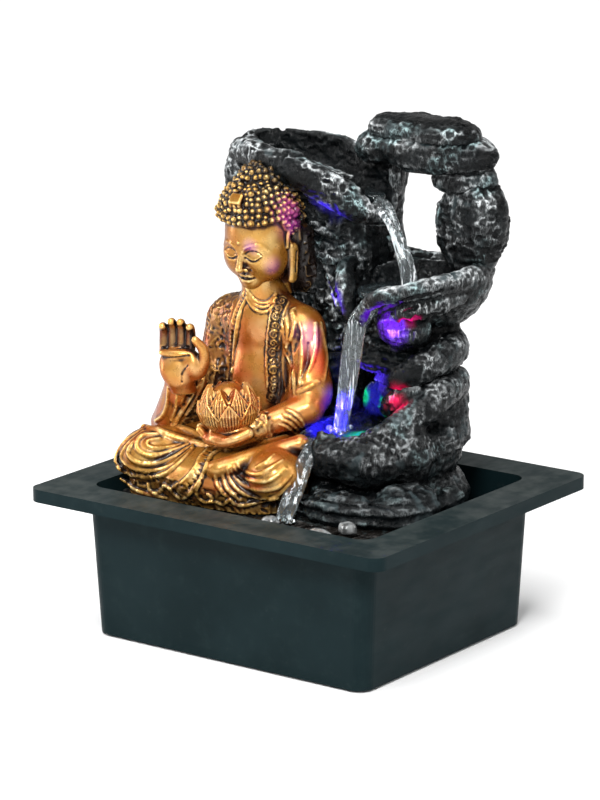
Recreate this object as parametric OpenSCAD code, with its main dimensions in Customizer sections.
// Tabletop water fountain: a tapered plastic basin, a submersible pump, and a cast sculpture
// that lifts off in one piece (seated figure, rockwork, three cascading bowls, stone arch).
// Millimetres. X runs along the basin's long front, Y towards the back, Z up.
// The origin is the centre of the basin's footprint, on the surface it stands on.

/* [Basin] */
// Width of the rim, along X
rim_w = 210; // [205:1:225]
// Depth of the rim, along Y
rim_d = 180; // [176:1:195]
// Height of the rim's top face above the table
basin_h = 76; // [75:0.5:80]
// Width of the flat rim, from its outer edge to the opening
flange_w = 21.7; // [20:0.1:22]
// Height of the lip that hangs from the rim's outer edge
lip_h = 6.5; // [5:0.5:10]
// How much narrower the tub is at its bottom than at its top, on each side
tub_taper = 4.2; // [2:0.1:6]
// Wall thickness of the tub
wall = 2.2; // [1.8:0.1:2.6]
// Thickness of the rubber feet
foot_t = 1.2; // [1:0.1:2]

/* [Sculpture] */
// Underside of the base plate, which rests on the basin's posts
plate_z = 66; // [64:1:67]
// Thickness of the base plate
plate_t = 4; // [3:0.5:4]
// Top of the highest stone above the table
top_z = 257; // [255:0.5:260]
// Level of the lower bowl's rim
lower_rim_z = 108; // [106:0.5:109]
// Level of the middle bowl's rim at its back
middle_rim_z = 188; // [186:0.5:189]
// Level of the upper bowl's floor
upper_floor_z = 213; // [211:0.5:215]

/* [Pump] */
// Width of the pump housing
pump_w = 40; // [38:1:42]
// Height of the pump housing
pump_h = 40; // [39:1:42]
// Radius of the rotor magnet
magnet_r = 7.6; // [6.5:0.1:7.6]
// Radius of the ceramic shaft
shaft_r = 1.2; // [1:0.1:1.5]
// Outside radius of the outlet nozzle that the hose slides over
nozzle_r = 4; // [3.6:0.1:4.2]
// Outside radius of the riser hose
hose_r = 6; // [5.6:0.1:6]
// Travel of the flow slider
flow_travel = 6; // [4:0.5:6]

/* [Hidden] */
$fn = 48;

floor_z = foot_t;                       // underside of the tub
floor_top = floor_z + wall + 0.2;       // inside face of the tub's floor
open_w = rim_w - 2 * flange_w;          // opening inside the rim
open_d = rim_d - 2 * flange_w;
rim_t = 2.4;                            // thickness of the rim and its lip
rim_corner = 7;
tub_corner = 8;
post_r = 5;
posts = [[-66, -48], [66, -50], [-66, 52], [46, 45]];
foot_pos = [[-62, -50], [62, -50], [-62, 50], [62, 50]];
grommet_pos = [-50, 58];                // X and Z of the cable inlet in the back wall
grommet_r = 5;
inlet_r = 3;

hose_x = -16;
hose_y = 27;
pump_x = hose_x - 8;                    // rotor axis, parallel to Y
pump_z0 = floor_top + 6.4;              // underside of the pump, on its suction cups
axis_z = pump_z0 + 20;
cover_y = 20;                           // front face of the pump cover
house_y = 32;                           // joint between cover and housing
house_end = 59;
magnet_y = [34, 52];
well_r = magnet_r + 0.7;
well_end = 53.5;
bush_r = 3.6;
run = 0.05;                             // running clearance on a shaft or nozzle
nozzle_top = 62;
cover_half = 17;
fit_gap = 0.35;                         // clearance of the strainer around the cover
strainer_t = 1.6;
strainer_y = 5;
strainer_end = house_y - 0.4;
window = [12, 16];                      // intake window behind the flow slider

plate_top = plate_z + plate_t;
joint_x = 4;                            // bonded joint plane between the two rock columns
joint_y = 10;                           // bonded joint plane between the figure and the rocks
figure_x = -26;
legs_x = -29;
lap_z = 103;                            // bonded joint between the legs and the torso
neck_z = 168.5;                         // bonded joint between the torso and the neck
led_pos = [27, 2];
led_r = 8;
arch_low = 232;                         // underside of the arch slab
cap_z = arch_low + 15;                  // joint between the slab and its cap stone
far = 999;

// ---------- rock shapes ----------

// A smooth pseudo-random field over the angle a and the height step b, about -1 to 1
function lumps(a, b, seed) =
    0.5 * sin(2 * a + 57 * seed) * cos(60 * b + 91 * seed)
    + 0.3 * sin(5 * a + 80 * b + 131 * seed)
    + 0.2 * cos(3 * a - 140 * b + 23 * seed);

function limit(p, lo, hi) = [for (i = [0:2]) max(lo[i], min(hi[i], p[i]))];

// Side triangles between ring i and ring i + 1 of n points each; ring 0 starts at index 1
function band(i, n) = [
    for (j = [0:n - 1])
        let (k = (j + 1) % n, a = 1 + i * n)
            each [[a + j, a + n + j, a + n + k], [a + j, a + n + k, a + k]]
];

// A closed stone: an oval of half-widths r about c, scaled by each [scale, z] of the profile,
// from its lowest ring to its highest, roughened, and cut flat at lo and hi. A ring's third
// number says how much of the tilt, millimetres of rise per millimetre of X and Y, it takes
module stone(c, r, profile, seed, rough = 0.06, lo = [-far, -far, -far], hi = [far, far, far], n = 20,
             tilt = [0, 0]) {
    m = len(profile);
    rings = [
        for (i = [0:m - 1], j = [0:n - 1])
            let (
                a = 360 * j / n,
                k = profile[i][0] * (1 + rough * lumps(a, i, seed)),
                x = r[0] * k * cos(a),
                y = r[1] * k * sin(a),
                rise = len(profile[i]) > 2 ? profile[i][2] * (tilt[0] * x + tilt[1] * y) : 0
            )
                limit([c[0] + x, c[1] + y, profile[i][1] + rise], lo, hi)
    ];
    pts = concat(
        [limit([c[0], c[1], profile[0][1]], lo, hi)],
        rings,
        [limit([c[0], c[1], profile[m - 1][1]], lo, hi)]
    );
    top = m * n + 1;
    faces = concat(
        [for (j = [0:n - 1]) [0, 1 + j, 1 + (j + 1) % n]],
        [for (i = [0:m - 2]) each band(i, n)],
        [for (j = [0:n - 1]) [top, top - n + (j + 1) % n, top - n + j]]
    );
    polyhedron(pts, faces, convexity = 6);
}

// Profile of a tier with rounded edges between two levels
function tier(z0, z1, foot = 0.9, waist = 1, brow = 0.93) = [
    [foot, z0],
    [(foot + waist) / 2 + 0.02, z0 + 0.2 * (z1 - z0)],
    [waist, z0 + 0.5 * (z1 - z0)],
    [(brow + waist) / 2 + 0.02, z0 + 0.8 * (z1 - z0)],
    [brow, z1]
];

// Profile of an egg between two levels
function egg(z0, z1, steps = 7) = [
    for (i = [0:steps])
        let (t = -80 + 160 * i / steps)
            [cos(t), (z0 + z1) / 2 + (z1 - z0) / 2 * sin(t) / sin(80)]
];

// A rounded plate outline
module rounded_rect(w, d, r) {
    hull()
        for (x = [-1, 1], y = [-1, 1])
            translate([x * (w / 2 - r), y * (d / 2 - r)]) circle(r, $fn = 32);
}

module along_y(x, z, y0, y1, r) {
    translate([x, y0, z]) rotate([-90, 0, 0]) cylinder(h = y1 - y0, r = r);
}

module upright(x, y, z0, z1, r) {
    translate([x, y, z0]) cylinder(h = z1 - z0, r = r);
}

module block(lo, hi) {
    translate(lo) cube(hi - lo);
}

module ellipsoid(c, r) {
    translate(c) resize(2 * r) sphere(1, $fn = 20);
}

// ---------- basin ----------

// The tub's shape from z0 to z1, shrunk on every side
module tub_shape(z0, z1, shrink) {
    body_w = open_w + 2 * wall;
    body_d = open_d + 2 * wall;
    thin = 0.01;
    hull() {
        translate([0, 0, z0]) linear_extrude(thin)
            rounded_rect(body_w - 2 * (tub_taper + shrink), body_d - 2 * (tub_taper * 0.5 + shrink), tub_corner);
        translate([0, 0, z1 - thin]) linear_extrude(thin)
            rounded_rect(body_w - 2 * shrink, body_d - 2 * shrink, tub_corner);
    }
}

module basin() {
    color([0.13, 0.19, 0.2]) difference() {
        union() {
            difference() {
                union() {
                    tub_shape(floor_z, basin_h, 0);
                    translate([0, 0, basin_h - rim_t]) linear_extrude(rim_t)
                        rounded_rect(rim_w, rim_d, rim_corner);
                }
                tub_shape(floor_top, basin_h + 1, wall);
            }
            translate([0, 0, basin_h - lip_h]) linear_extrude(lip_h) difference() {
                rounded_rect(rim_w, rim_d, rim_corner);
                square([rim_w - 2 * rim_t, rim_d - 2 * rim_t], center = true);
            }
            for (p = posts) upright(p[0], p[1], floor_top - 0.5, plate_z, post_r);
        }
        along_y(grommet_pos[0], grommet_pos[1], open_d / 2 - 8, open_d / 2 + 8, grommet_r);
    }
}

module basin_feet() {
    color([0.08, 0.08, 0.08])
        for (p = foot_pos) upright(p[0], p[1], 0, foot_t, 7);
}

module cable_grommet() {
    y_in = open_d / 2 - 2.2;
    y_out = open_d / 2 + 3.4;
    color([0.07, 0.07, 0.07]) difference() {
        union() {
            along_y(grommet_pos[0], grommet_pos[1], y_in, y_out, grommet_r - 0.02);
            along_y(grommet_pos[0], grommet_pos[1], y_out - 1.4, y_out, grommet_r + 2);
            along_y(grommet_pos[0], grommet_pos[1], y_in, y_in + 1.4, grommet_r + 2);
        }
        along_y(grommet_pos[0], grommet_pos[1], y_in - 1, y_out + 1, inlet_r);
    }
}

// ---------- pump ----------

module stator_outline(grow) {
    block([pump_x - 14 - grow, 37, pump_z0 + 4 - grow], [pump_x + 14 + grow, 49, pump_z0 + 8.5 + grow]);
    for (s = [-1, 1])
        translate([pump_x + s * 12, 43, pump_z0 + 17]) cube([4.4 + 2 * grow, 12, 26 + 2 * grow], center = true);
}

module coil_outline() {
    block([pump_x - 8, 34.5, pump_z0 + 1.6], [pump_x + 8, 51.5, pump_z0 + 10.8]);
}

module pump_housing() {
    color([0.1, 0.1, 0.11]) difference() {
        translate([pump_x, house_y, pump_z0 + pump_h / 2]) rotate([-90, 0, 0])
            linear_extrude(house_end - house_y) rounded_rect(pump_w, pump_h, 5);
        along_y(pump_x, axis_z, house_y - 1, well_end, well_r);
        along_y(pump_x, axis_z, well_end - 1, well_end + 3.5, bush_r);
        stator_outline(0);
        coil_outline();
        ring_groove();
        along_y(pump_x + 14, pump_z0 + 32, house_end - 6, house_end + 1, 2.6);
    }
}

module ring_groove() {
    difference() {
        along_y(pump_x, axis_z, house_y - 0.8, house_y + 0.8, 15);
        along_y(pump_x, axis_z, house_y - 1, house_y + 1, 13.6);
    }
}

module pump_cover() {
    color([0.14, 0.14, 0.15]) difference() {
        translate([pump_x, cover_y, axis_z]) rotate([-90, 0, 0])
            linear_extrude(house_y - cover_y) rounded_rect(2 * cover_half, 2 * cover_half, 4);
        along_y(pump_x, axis_z, cover_y + 3.4, house_y + 1, 12.2);
        along_y(pump_x, axis_z, cover_y - 1, cover_y + 4, bush_r);
        for (a = [45:90:315])
            along_y(pump_x + 7.5 * cos(a), axis_z + 7.5 * sin(a), cover_y - 1, cover_y + 4, 2.2);
        upright(hose_x, hose_y, axis_z, axis_z + cover_half + 1, 2.8);
        upright(hose_x, hose_y, axis_z + cover_half - 4, axis_z + cover_half + 1, nozzle_r);
        ring_groove();
    }
}

module pump_o_ring() {
    color([0.05, 0.05, 0.05]) ring_groove();
}

module outlet_nozzle() {
    color([0.16, 0.16, 0.17]) difference() {
        union() {
            upright(hose_x, hose_y, axis_z + cover_half - 4, nozzle_top, nozzle_r);
            upright(hose_x, hose_y, axis_z + cover_half, axis_z + cover_half + 1.5, nozzle_r + 0.9);
        }
        upright(hose_x, hose_y, axis_z + cover_half - 5, nozzle_top + 1, 2.8);
    }
}

module pump_shaft() {
    color([0.9, 0.9, 0.86]) along_y(pump_x, axis_z, cover_y + 0.8, well_end + 2.6, shaft_r);
}

module bush(y0, y1, blind0, blind1) {
    color([0.07, 0.07, 0.07]) difference() {
        along_y(pump_x, axis_z, y0, y1, bush_r);
        along_y(pump_x, axis_z, blind0, blind1, shaft_r);
    }
}

module front_bush() {
    bush(cover_y, cover_y + 3.4, cover_y + 0.8, cover_y + 4);
}

module rear_bush() {
    bush(well_end, well_end + 3.5, well_end - 1, well_end + 2.6);
}

module stator_core() {
    color([0.5, 0.5, 0.52]) stator_outline(0);
}

module stator_coil() {
    color([0.7, 0.35, 0.15]) difference() {
        coil_outline();
        stator_outline(0);
    }
}

module suction_cups() {
    cup = [[0, 6.4], [3.2, 6.4], [3.2, 4.2], [2.2, 3.6], [2.2, 2.4], [6.6, 0], [5.6, 0], [1.4, 1.5], [0, 1.5]];
    color([0.12, 0.12, 0.12])
        for (x = [-12, 12], y = [39, 52])
            translate([pump_x + x, y, floor_top]) rotate_extrude() polygon(cup);
}

module impeller() {
    y0 = cover_y + 4;
    color([0.75, 0.75, 0.72]) difference() {
        union() {
            along_y(pump_x, axis_z, y0, magnet_y[0], 3.4);
            along_y(pump_x, axis_z, house_y - 1.2, house_y, 11);
            for (i = [0:5])
                translate([pump_x, 0, axis_z]) rotate([0, 60 * i, 0])
                    translate([2.6, y0 + 0.4, -0.6]) cube([8.6, house_y - y0 - 0.6, 1.2]);
        }
        along_y(pump_x, axis_z, y0 - 1, magnet_y[0] + 1, shaft_r + run);
    }
}

module rotor_magnet() {
    color([0.2, 0.2, 0.22]) difference() {
        along_y(pump_x, axis_z, magnet_y[0], magnet_y[1], magnet_r);
        along_y(pump_x, axis_z, magnet_y[0] - 1, magnet_y[1] + 1, shaft_r + run);
    }
}

module strainer() {
    half = cover_half + fit_gap;
    color([0.09, 0.09, 0.1]) difference() {
        union() {
            difference() {
                block([pump_x - half - strainer_t, strainer_y, axis_z - half - strainer_t],
                      [pump_x + half + strainer_t, strainer_end, axis_z + half + strainer_t]);
                block([pump_x - half, strainer_y + strainer_t, axis_z - half],
                      [pump_x + half, strainer_end + 1, axis_z + half]);
            }
            for (s = [-1, 1]) guide_rail(s);
        }
        block([pump_x - window[0] / 2, strainer_y - 1, axis_z - window[1] / 2],
              [pump_x + window[0] / 2, strainer_y + 2, axis_z + window[1] / 2]);
        for (x = [-15, -12, 10.8, 13.8])
            block([pump_x + x, strainer_y - 1, axis_z - 13], [pump_x + x + 1.4, strainer_y + 2, axis_z + 13]);
        for (s = [-1, 1], y = [9:4:17])
            block([pump_x + s * half - 3, y, axis_z - 12], [pump_x + s * half + 3, y + 1.6, axis_z + 12]);
        block([hose_x - 6, hose_y - 6, axis_z + half - 1], [hose_x + 6, strainer_end + 1, axis_z + half + 3]);
    }
}

// An L-shaped rail that holds the flow slider above (s = 1) or below (s = -1) the window
module guide_rail(s) {
    z = axis_z + s * (window[1] / 2 + 2.3);
    block([pump_x - 10, strainer_y - 1.8, min(z, z + s * 1.2)], [pump_x + 10, strainer_y, max(z, z + s * 1.2)]);
    z_lip = z - s * 0.9;
    block([pump_x - 10, strainer_y - 2.8, min(z_lip, z + s * 1.2)],
          [pump_x + 10, strainer_y - 1.8, max(z_lip, z + s * 1.2)]);
}

module flow_slider() {
    reach = window[1] / 2 + 2.1;
    color([0.75, 0.12, 0.1]) {
        block([pump_x - 10, strainer_y - 1.6, axis_z - reach], [pump_x + 1, strainer_y - 0.2, axis_z + reach]);
        block([pump_x - 6, strainer_y - 3.8, axis_z - 3], [pump_x - 3, strainer_y - 1.6, axis_z + 3]);
    }
}

// ---------- sculpture: plate and rocks ----------

module base_plate() {
    edge_x = open_w / 2 - 2.4;
    edge_y = open_d / 2 - 2.4;
    cut = 4;
    outline = [
        [-60, -edge_y], [edge_x - cut, -edge_y], [edge_x, cut - edge_y], [edge_x, 30], [61, 42], [44, edge_y],
        [cut - edge_x, edge_y], [-edge_x, edge_y - cut], [-edge_x, -46], [-74, -58]
    ];
    color([0.14, 0.14, 0.14]) difference() {
        translate([0, 0, plate_z]) linear_extrude(plate_t) polygon(outline);
        upright(hose_x, hose_y, plate_z - 1, plate_top + 1, hose_r + 0.4);
        upright(led_pos[0], led_pos[1], plate_z - 1, plate_top + 1, 1.8);
        for (x = [22:9:67])
            block([x, -58, plate_z - 1], [x + 3, -42, plate_top + 1]);
    }
}

module base_rocks() {
    color([0.12, 0.12, 0.13]) {
        stone([66, -14], [13, 20], egg(plate_top - 8, 90), 3, 0.1, [-far, -far, plate_top]);
        stone([42, -34], [19, 7], egg(plate_top - 6, 86), 5, 0.1, [-far, -far, plate_top]);
        stone([75, 14], [5.5, 9], egg(plate_top - 5, 84), 8, 0.1, [-far, -far, plate_top]);
        stone([20, -30], [6, 5], egg(plate_top - 3, 82), 11, 0.08, [-far, -far, plate_top]);
    }
}

module foot_rock() {
    color([0.11, 0.11, 0.12]) difference() {
        stone([36, 17], [36, 40], tier(plate_top, 84, 1, 1, 0.9), 2, 0.04, [joint_x, joint_y - 34, -far],
              [far, open_d / 2 - 6, far]);
        upright(led_pos[0], led_pos[1], plate_top - 1, 85, 1.8);
    }
}

module lower_bowl() {
    color([0.12, 0.12, 0.13]) difference() {
        stone([35, 14], [43, 45], tier(84, lower_rim_z, 0.9, 1, 0.94), 4, 0.05, [joint_x, -far, -far],
              [far, open_d / 2, far]);
        stone([28, -4], [20, 20], egg(94, lower_rim_z + 20, 8), 6, 0.04);
        upright(led_pos[0], led_pos[1], 83, 99, led_r + 0.1);
        stone([19, -26], [8, 14], egg(100, lower_rim_z + 14, 6), 9, 0.03);
    }
}

module column_lower() {
    color([0.12, 0.12, 0.13])
        stone([46, 30], [28, 25], tier(lower_rim_z, 132, 1, 0.96, 0.86), 7, 0.05, [joint_x, -far, -far]);
}

module column_upper() {
    color([0.13, 0.13, 0.14])
        stone([44, 30], [33, 26], tier(132, 154, 0.84, 1, 0.82), 10, 0.05, [joint_x, -far, -far]);
}

module middle_bowl() {
    color([0.13, 0.13, 0.14]) difference() {
        stone([43, 30], [39, 30], [[0.8, 154], [0.93, 163], [1, 173, 0.6], [0.97, middle_rim_z - 5, 1]], 12, 0.05,
              [joint_x, -far, -far], [far, 64, middle_rim_z], tilt = [0.05, 0.22]);
        stone([46, 28], [30, 20], egg(162, middle_rim_z + 22, 8), 13, 0.04);
        stone([18, 6], [8, 16], egg(162, middle_rim_z + 22, 6), 15, 0.03);
    }
}

module riser_channel() {
    upright(hose_x, hose_y, plate_top - 1, 300, hose_r + 0.3);
}

module back_rock_lower() {
    color([0.11, 0.11, 0.12]) difference() {
        stone([-18, 26], [32, 32], tier(plate_top, 140, 1, 0.98, 0.86), 14, 0.06, [-far, joint_y, -far],
              [joint_x - 0.02, 58, far]);
        riser_channel();
    }
}

module back_rock_upper() {
    color([0.11, 0.11, 0.12]) difference() {
        stone([-16, 26], [28, 26], tier(140, 204, 0.98, 0.95, 1.05), 16, 0.06, [-far, joint_y, -far],
              [joint_x - 0.02, 54, far]);
        riser_channel();
    }
}

module upper_bowl() {
    color([0.14, 0.14, 0.15]) difference() {
        stone([-15, 23], [44, 20], [[0.6, 204], [0.84, 212], [1, 222, 0.5], [0.95, 235, 1]], 17, 0.05,
              tilt = [-0.16, 0.2], n = 24);
        stone([-15, 23], [36, 13], egg(upper_floor_z, 262, 8), 18, 0.03);
        stone([21, 22], [16, 8], egg(upper_floor_z + 3, 262, 6), 19, 0.03);
        riser_channel();
        intersection() {
            head_shape(0.3);
            block([-60, -40, 200], [10, joint_y, 240]);
        }
    }
}

module arch_abutment() {
    color([0.12, 0.12, 0.13])
        stone([13, 47], [10, 9], tier(middle_rim_z, arch_low, 1, 0.88, 1), 20, 0.05);
}

module arch_pillar() {
    color([0.13, 0.13, 0.14])
        stone([66, 42], [19, 15], [[0.62, middle_rim_z - 2], [0.88, 194], [1, 206], [0.92, 217], [0.66, 224]],
              21, 0.05);
}

module neck_stone() {
    color([0.13, 0.13, 0.14])
        stone([62, 41], [16, 13], tier(224, arch_low, 0.85, 1, 0.9), 22, 0.04);
}

module arch_slab() {
    color([0.14, 0.14, 0.15])
        stone([44, 38], [37, 19], [[0.86, arch_low], [1, arch_low + 5], [0.94, arch_low + 11], [0.74, cap_z]],
              23, 0.05);
}

module cap_stone() {
    color([0.15, 0.15, 0.16])
        stone([42, 36], [30, 15], [[0.84, cap_z], [0.95, cap_z + 2.5], [0.78, cap_z + 6], [0.4, top_z]],
              27, 0.05);
}

// ---------- sculpture: figure ----------

module figure_legs() {
    color([0.75, 0.5, 0.2]) {
        translate([legs_x, 0, plate_top]) linear_extrude(13) hull() {
            translate([-38, -44]) circle(13.5, $fn = 32);
            translate([29, -36]) circle(13, $fn = 32);
            translate([-36, joint_y - 10.5]) circle(10, $fn = 32);
            translate([22, joint_y - 10.5]) circle(10, $fn = 32);
        }
        for (s = [-1, 1])
            intersection() {
                hull() {
                    ellipsoid([legs_x + s * 37, -43, 91], [16, 15, 12]);
                    ellipsoid([legs_x + s * 17, -6, 92], [16, 15, 13]);
                }
                block([-82.5, -60, 83], [27, joint_y - 0.5, lap_z]);
            }
        hull() {
            ellipsoid([legs_x - 28, -45, 92], [10, 10, 8]);
            ellipsoid([legs_x + 28, -45, 90], [10, 10, 8]);
        }
    }
}

module figure_torso() {
    color([0.76, 0.52, 0.22]) intersection() {
        union() {
            hull() {
                ellipsoid([figure_x, -4, 106], [27, 15, 14]);
                ellipsoid([figure_x, 0, 146], [27, 13, 14]);
            }
            hull() {
                ellipsoid([figure_x, -1, 150], [32, 12, 12]);
                ellipsoid([figure_x, -1, 160], [12, 10, 10]);
            }
            hull() {
                ellipsoid([figure_x + 29, 0, 148], [9, 9, 12]);
                ellipsoid([figure_x + 36, -8, 118], [9, 10, 12]);
            }
            hull() {
                ellipsoid([figure_x + 35, -12, 114], [8, 9, 8]);
                ellipsoid([figure_x + 9, -34, 106], [8, 8, 5]);
            }
            hull() {
                ellipsoid([figure_x - 29, 0, 148], [9, 9, 12]);
                ellipsoid([figure_x - 31, -8, 120], [10, 11, 14]);
            }
        }
        block([-80, -60, lap_z], [22, joint_y - 0.5, neck_z]);
    }
}

module head_shape(grow) {
    hull() {
        ellipsoid([figure_x, -11, 190], [15.5, 19, 19] + grow * [1, 1, 1]);
        ellipsoid([figure_x, -7, 206], [19, 22, 15] + grow * [1, 1, 1]);
    }
    ellipsoid([figure_x, -3, 217], [14, 15, 14] + grow * [1, 1, 1]);
}

module figure_head() {
    color([0.78, 0.54, 0.24]) intersection() {
        union() {
            head_shape(0);
            upright(figure_x, -3, neck_z, 190, 10.5);
        }
        block([-60, -40, neck_z], [10, joint_y - 0.5, 240]);
    }
}

module raised_forearm() {
    color([0.77, 0.53, 0.23]) {
        hull() {
            ellipsoid([-59, -25, 112], [10, 10, 11]);
            ellipsoid([-50, -36, 125], [7, 6, 6]);
        }
        hull() {
            ellipsoid([-49, -38, 132], [10, 5, 9]);
            ellipsoid([-48, -39, 152], [9, 4, 6]);
        }
    }
}

module lotus_bud() {
    color([0.78, 0.55, 0.26])
        translate([-20, -38, 0]) rotate_extrude()
            polygon([[0, 107], [6, 107.4], [12, 111], [15.4, 118], [14.6, 124], [9, 129], [2, 131.5], [0, 131.6]]);
}

module pebbles() {
    color([0.55, 0.56, 0.55]) {
        stone([16, -53], [5, 3.4], egg(plate_top - 1, 74, 5), 31, 0.04, [-far, -far, plate_top], n = 14);
        stone([49, -59], [8, 4.4], egg(plate_top - 1, 74.5, 5), 33, 0.04, [-far, -far, plate_top], n = 14);
        stone([56, -46], [5, 4], egg(plate_top - 1, 75.5, 5), 35, 0.04, [-far, -far, plate_top], n = 14);
    }
}

// ---------- sculpture: hose and light ----------

module riser_hose() {
    color([0.75, 0.78, 0.78, 0.7]) difference() {
        upright(hose_x, hose_y, 51, upper_floor_z + 6, hose_r);
        upright(hose_x, hose_y, 50, upper_floor_z + 7, nozzle_r + run);
    }
}

module led_housing() {
    color([0.1, 0.1, 0.1]) difference() {
        upright(led_pos[0], led_pos[1], 84.4, 95, led_r);
        upright(led_pos[0], led_pos[1], 87, 96, led_r - 1.4);
        upright(led_pos[0], led_pos[1], 84, 88, 1.4);
    }
}

module led_board() {
    color([0.15, 0.4, 0.2]) upright(led_pos[0], led_pos[1], 87, 88.4, led_r - 1.5);
}

module led_chips() {
    color([0.95, 0.9, 0.7])
        for (a = [0:90:270])
            translate([led_pos[0] + 3.2 * cos(a), led_pos[1] + 3.2 * sin(a), 89.1])
                cube([2.4, 2.4, 1.4], center = true);
}

module led_lens() {
    color([0.85, 0.9, 0.95, 0.5]) difference() {
        union() {
            upright(led_pos[0], led_pos[1], 93.6, 95, led_r - 1.5);
            translate([led_pos[0], led_pos[1], 95]) rotate_extrude()
                polygon([[0, 0], [led_r - 1.5, 0], [5.6, 0.8], [4, 1.6], [2, 2.1], [0, 2.2]]);
        }
        upright(led_pos[0], led_pos[1], 93, 94.4, 4.6);
    }
}

module led_seal() {
    color([0.05, 0.05, 0.05]) difference() {
        upright(led_pos[0], led_pos[1], 92.4, 93.6, led_r - 1.5);
        upright(led_pos[0], led_pos[1], 92, 94, led_r - 2.9);
    }
}

module led_lead() {
    color([0.06, 0.06, 0.06]) upright(led_pos[0], led_pos[1], plate_z, 87, 1.4);
}

module led_connector() {
    color([0.08, 0.08, 0.08]) difference() {
        union() {
            upright(led_pos[0], led_pos[1], plate_z - 14, plate_z, 3.6);
            upright(led_pos[0], led_pos[1], plate_z - 2, plate_z, 5);
        }
        upright(led_pos[0], led_pos[1], plate_z - 15, plate_z - 8, 2);
    }
}

basin();
basin_feet();
cable_grommet();
pump_housing();
pump_cover();
pump_o_ring();
outlet_nozzle();
pump_shaft();
front_bush();
rear_bush();
stator_core();
stator_coil();
suction_cups();
impeller();
rotor_magnet();
strainer();
flow_slider();
base_plate();
base_rocks();
foot_rock();
lower_bowl();
column_lower();
column_upper();
middle_bowl();
back_rock_lower();
back_rock_upper();
upper_bowl();
arch_abutment();
arch_pillar();
neck_stone();
arch_slab();
cap_stone();
figure_legs();
figure_torso();
figure_head();
raised_forearm();
lotus_bud();
pebbles();
riser_hose();
led_housing();
led_board();
led_chips();
led_lens();
led_seal();
led_lead();
led_connector();
